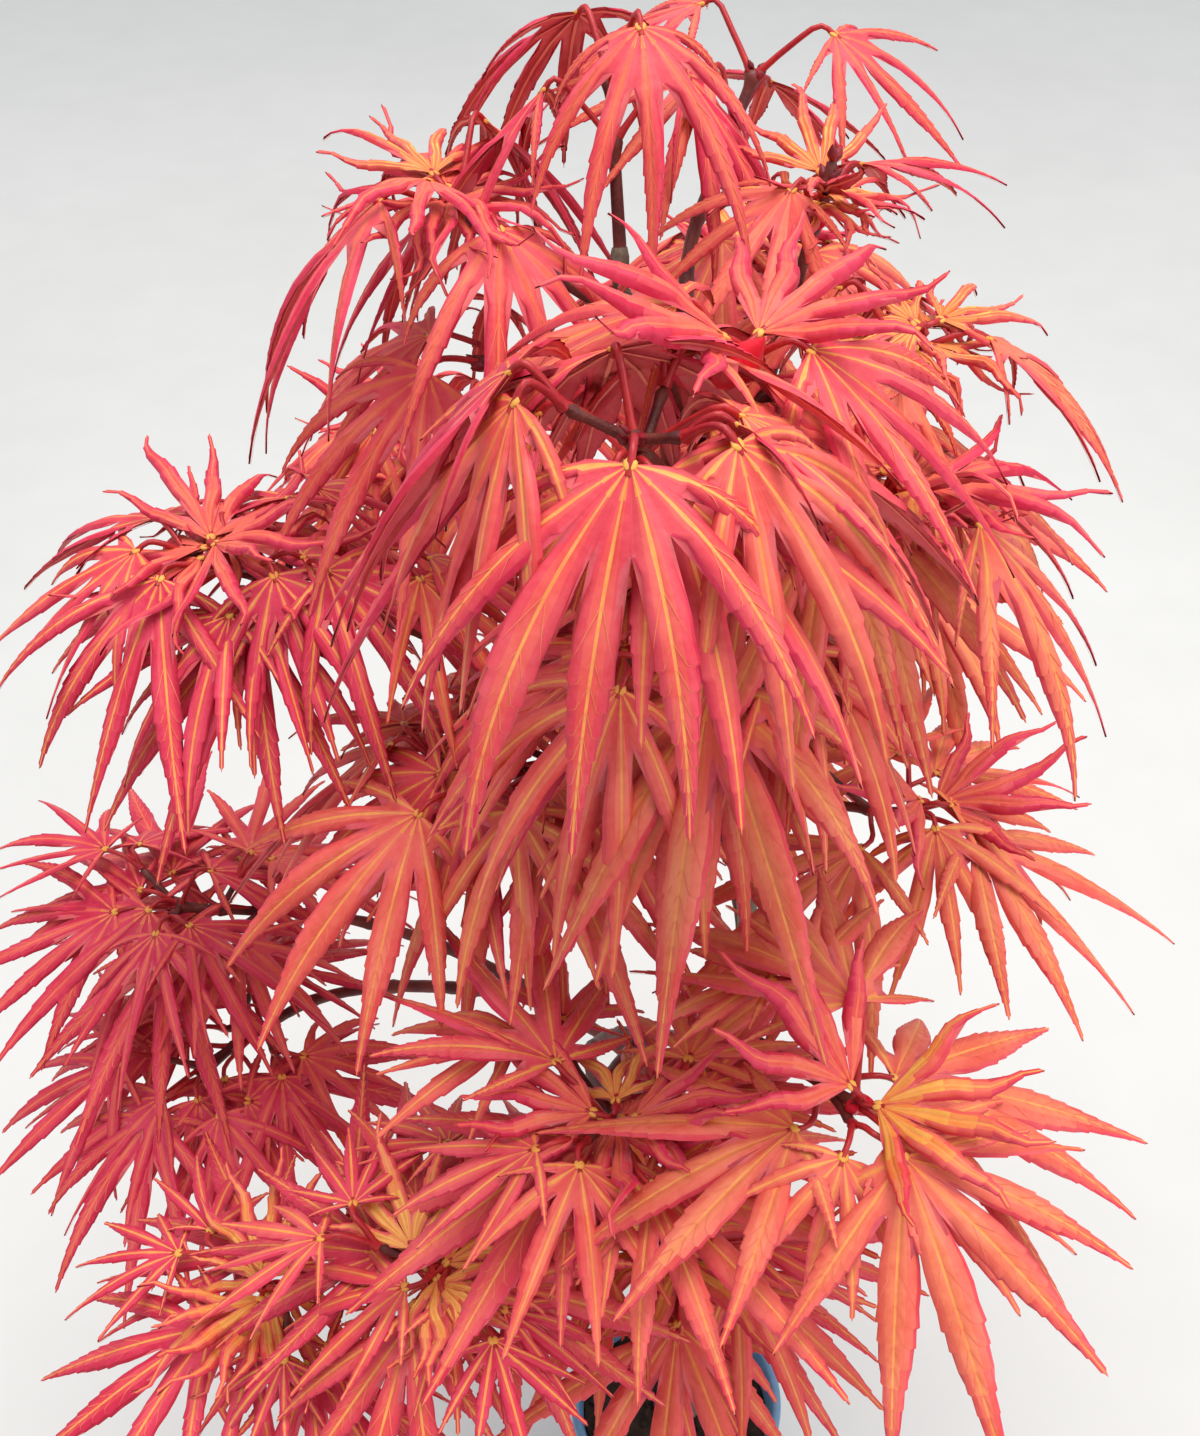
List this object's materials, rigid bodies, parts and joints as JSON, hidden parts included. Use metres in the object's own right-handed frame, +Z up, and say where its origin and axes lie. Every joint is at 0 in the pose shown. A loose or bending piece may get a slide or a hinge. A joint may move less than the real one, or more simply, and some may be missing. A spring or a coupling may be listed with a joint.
{
  "type": "potted japanese maple",
  "caption": "Young grafted maple with narrow drooping coral leaves on thin twigs, growing in a small round tapered nursery pot with a flat base.",
  "frame": {"origin": "middle of the pot's flat underside", "axes": "+Z up the tree; +X right and +Y away from the side the tree is seen from"},
  "size_m": [0.3104, 0.3053, 0.5093],
  "materials": {
    "pot": "smooth thin blue plastic, slightly scuffed",
    "compost": "moist dark potting compost, crumbly",
    "bark": "grey-brown young bark with pale lenticels",
    "twig": "red-brown smooth twig bark",
    "leaf": "soft satin leaf, coral red with yellow veins and crimson edges"
  },
  "bodies": {
    "root": {"pot": "pot", "compost": "compost", "trunk": "bark", "bough_crest_right": "twig", "bough_far_left": "twig", "bough_far_left_low": "twig", "bough_front": "twig", "bough_front_crown": "twig", "bough_heart": "twig", "bough_left": "twig", "bough_left_upper": "twig", "bough_low_centre": "twig", "bough_low_front": "twig", "bough_low_left": "twig", "bough_low_middle": "twig", "bough_low_right": "twig", "bough_middle_left": "twig", "bough_rear": "twig", "bough_rear_left": "twig", "bough_rear_low": "twig", "bough_rear_right": "twig", "bough_right": "twig", "bough_right_low": "twig", "bough_right_upper": "twig", "bough_shoulder_left": "twig", "bough_shoulder_right": "twig", "leaves_crest": "leaf", "leaves_crest_right": "leaf", "leaves_far_left": "leaf", "leaves_far_left_low": "leaf", "leaves_front": "leaf", "leaves_front_crown": "leaf", "leaves_heart": "leaf", "leaves_left": "leaf", "leaves_left_upper": "leaf", "leaves_low_centre": "leaf", "leaves_low_front": "leaf", "leaves_low_left": "leaf", "leaves_low_middle": "leaf", "leaves_low_right": "leaf", "leaves_middle_left": "leaf", "leaves_rear": "leaf", "leaves_rear_left": "leaf", "leaves_rear_low": "leaf", "leaves_rear_right": "leaf", "leaves_right": "leaf", "leaves_right_low": "leaf", "leaves_right_upper": "leaf", "leaves_shoulder_left": "leaf", "leaves_shoulder_right": "leaf"}
  },
  "joints": []
}
